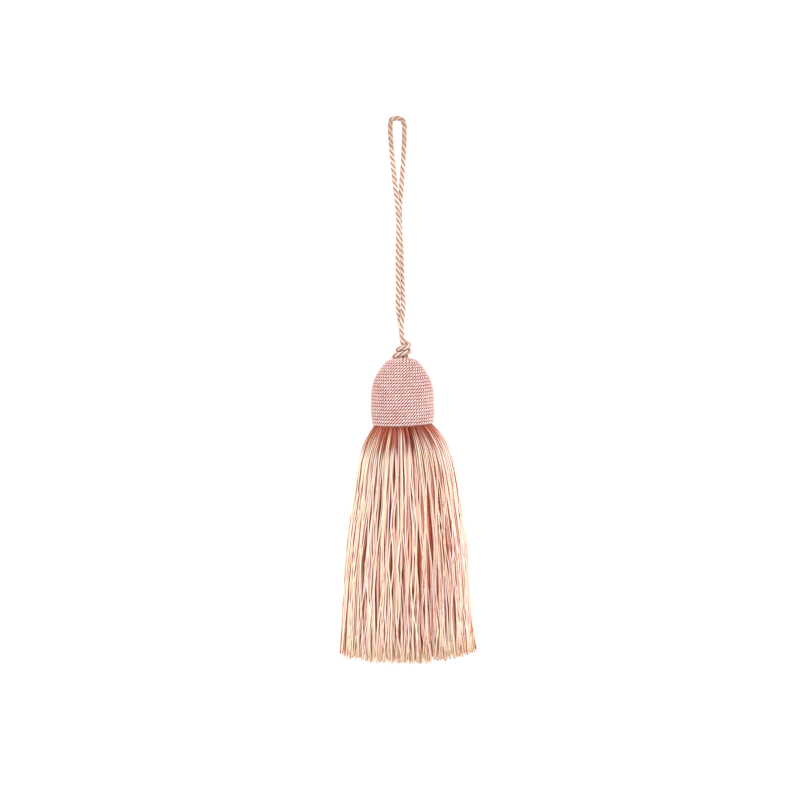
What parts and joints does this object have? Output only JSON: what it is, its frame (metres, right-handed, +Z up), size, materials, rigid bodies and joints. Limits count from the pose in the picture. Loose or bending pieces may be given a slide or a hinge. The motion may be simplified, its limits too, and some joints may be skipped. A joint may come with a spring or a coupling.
{
  "type": "tassel",
  "caption": "Hanging tassel with a round-topped head wound in twisted cord, a flared skirt of cut strands and a plied cord loop tied above the head.",
  "frame": {"origin": "the point under the loop's top where a hook or peg bears", "axes": "+Z up along the tassel's hanging axis, the front shown in the picture faces -Y"},
  "size_m": [0.0496, 0.0496, 0.1957],
  "materials": {
    "blush_cord": "three-ply twisted viscose cord, soft sheen",
    "rose_winding": "fine twisted viscose cord wound side by side, soft sheen",
    "peach_strands": "cut viscose yarn in mixed pink, cream and peach, silky sheen"
  },
  "bodies": {
    "root": {"hanging_cord": "blush_cord", "wound_head": "rose_winding", "strand_skirt": "peach_strands"}
  },
  "joints": []
}
